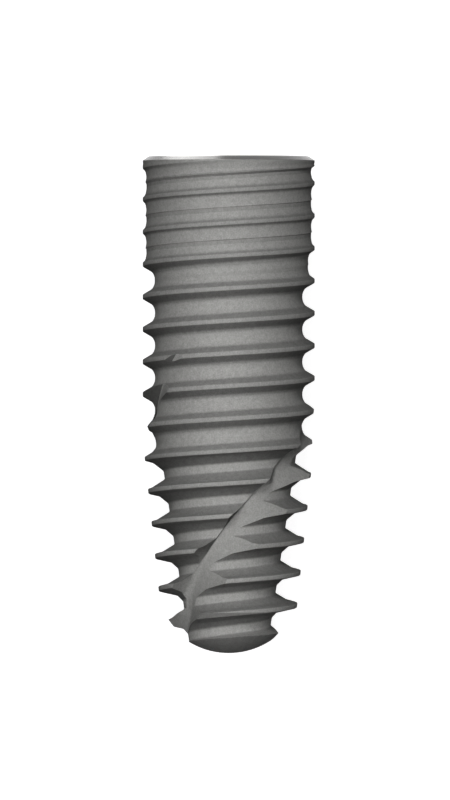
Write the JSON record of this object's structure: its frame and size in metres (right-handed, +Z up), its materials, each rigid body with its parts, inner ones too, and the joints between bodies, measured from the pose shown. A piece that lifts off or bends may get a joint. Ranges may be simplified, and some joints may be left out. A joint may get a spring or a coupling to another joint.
{
  "type": "dental implant",
  "caption": "Tapered titanium tooth-root screw with a finely grooved collar, coarse self-tapping thread, spiral cutting flutes, a domed tip and a cone-and-hexagon socket",
  "frame": {"origin": "under the middle of the body's length, on the surface that the implant lies on", "axes": "+X along the implant's axis from the domed tip to the platform, +Z up, so that the side which faces up is the side that the picture shows, with the picture's right towards -Y"},
  "size_m": [0.013, 0.0044, 0.0045],
  "materials": {
    "blasted_titanium": "grit-blasted and etched titanium, matt mid grey with a fine grain; the platform, its chamfer and the inner connection are bright machined titanium"
  },
  "bodies": {
    "root": {"implant_body": "blasted_titanium"}
  },
  "joints": []
}
